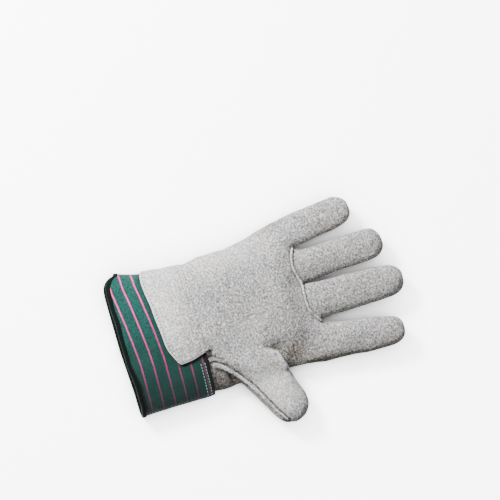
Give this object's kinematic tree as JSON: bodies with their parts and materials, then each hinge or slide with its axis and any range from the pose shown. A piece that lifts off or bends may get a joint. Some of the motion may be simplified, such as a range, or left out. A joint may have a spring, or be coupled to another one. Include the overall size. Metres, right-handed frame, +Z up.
{
  "type": "rigger glove",
  "caption": "Right-hand split-leather rigger glove lying palm up, with a striped green safety cuff.",
  "frame": {"origin": "middle of the glove's outline, on the surface that it lies on", "axes": "+X toward the thumb side, +Y from the cuff opening to the fingertips, +Z up from the back of the hand to the palm side"},
  "size_m": [0.1846, 0.2648, 0.0305],
  "materials": {
    "split_leather": "matte",
    "striped_canvas": "matte",
    "binding_tape": "matte"
  },
  "bodies": {
    "root": {"palm": "split_leather", "back": "split_leather", "ring_finger_front": "split_leather", "middle_finger_front": "split_leather", "finger_welt": "split_leather", "fourchette_index_middle": "split_leather", "fourchette_middle_ring": "split_leather", "fourchette_ring_little": "split_leather", "thumb_back": "split_leather", "thumb_welt": "split_leather", "cuff": "striped_canvas", "cuff_binding": "binding_tape"}
  },
  "joints": []
}
